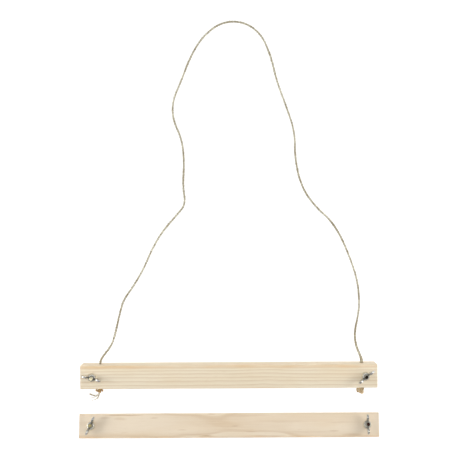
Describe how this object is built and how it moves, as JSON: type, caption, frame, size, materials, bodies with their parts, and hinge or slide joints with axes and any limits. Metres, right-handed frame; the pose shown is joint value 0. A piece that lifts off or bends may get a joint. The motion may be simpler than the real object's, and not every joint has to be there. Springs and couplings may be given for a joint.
{
  "type": "clamp bar loom",
  "caption": "Small hanging loom: an upper and a lower clamp of paired wooden bars, tightened by carriage bolts and wing nuts, with a loop of twine on the upper one to hang it by.",
  "frame": {"origin": "on the table, under the middle of the box round the clamps, with the loom lying on its back", "axes": "+X along the bars, +Y from the lower clamp to the upper one and its loop, +Z out of the front bars"},
  "size_m": [0.3004, 0.4264, 0.0385],
  "materials": {
    "upper_pine": "bare planed pine, straight grain",
    "lower_pine": "bare planed pine, flat-sawn figure",
    "zinc_steel": "bright zinc plating",
    "jute": "twisted jute twine"
  },
  "bodies": {
    "upper_back": {"upper_back_bar": "upper_pine", "upper_left_bolt": "zinc_steel", "upper_right_bolt": "zinc_steel", "hanging_twine": "jute", "left_clamped_twine": "jute", "right_clamped_twine": "jute", "left_knot": "jute", "right_knot": "jute", "left_frayed_end": "jute"},
    "upper_front": {"upper_front_bar": "upper_pine", "upper_left_washer": "zinc_steel", "upper_right_washer": "zinc_steel"},
    "upper_left_nut": {"upper_left_wing_nut": "zinc_steel"},
    "upper_right_nut": {"upper_right_wing_nut": "zinc_steel"},
    "lower_back": {"lower_back_bar": "lower_pine", "lower_left_bolt": "zinc_steel", "lower_right_bolt": "zinc_steel"},
    "lower_front": {"lower_front_bar": "lower_pine", "lower_left_washer": "zinc_steel", "lower_right_washer": "zinc_steel"},
    "lower_left_nut": {"lower_left_wing_nut": "zinc_steel"},
    "lower_right_nut": {"lower_right_wing_nut": "zinc_steel"}
  },
  "joints": [
    {"name": "upper_left_nut_turn", "type": "hinge", "parent": "upper_front", "child": "upper_left_nut", "pos_m": [-0.1367, 0.02685, 0.028], "axis": [0, 0, 1], "range_deg": [0, 2315]},
    {"name": "upper_right_nut_turn", "type": "hinge", "parent": "upper_front", "child": "upper_right_nut", "pos_m": [0.1367, 0.02685, 0.028], "axis": [0, 0, 1], "range_deg": [0, 2315]},
    {"name": "upper_clamp_opening", "type": "slide", "parent": "upper_back", "child": "upper_front", "axis": [0, 0, 1], "range_m": [0, 0.0045]},
    {"name": "clamp_spacing", "type": "slide", "parent": "upper_back", "child": "lower_back", "axis": [0, -1, 0], "range_m": [0, 0.3]},
    {"name": "lower_left_nut_turn", "type": "hinge", "parent": "lower_front", "child": "lower_left_nut", "pos_m": [-0.1382, -0.02178, 0.0266], "axis": [0, 0.1982, 0.9802], "range_deg": [0, 2829]},
    {"name": "lower_right_nut_turn", "type": "hinge", "parent": "lower_front", "child": "lower_right_nut", "pos_m": [0.1382, -0.02178, 0.0266], "axis": [0, 0.1982, 0.9802], "range_deg": [0, 2829]},
    {"name": "lower_clamp_opening", "type": "slide", "parent": "lower_back", "child": "lower_front", "axis": [0, 0.1982, 0.9802], "range_m": [0, 0.0055]}
  ],
  "couplings": [
    {"joint": "upper_left_nut_turn", "follows": "upper_clamp_opening", "rad_per_m": 8976},
    {"joint": "upper_right_nut_turn", "follows": "upper_clamp_opening", "rad_per_m": 8976},
    {"joint": "lower_left_nut_turn", "follows": "lower_clamp_opening", "rad_per_m": 8976},
    {"joint": "lower_right_nut_turn", "follows": "lower_clamp_opening", "rad_per_m": 8976}
  ]
}
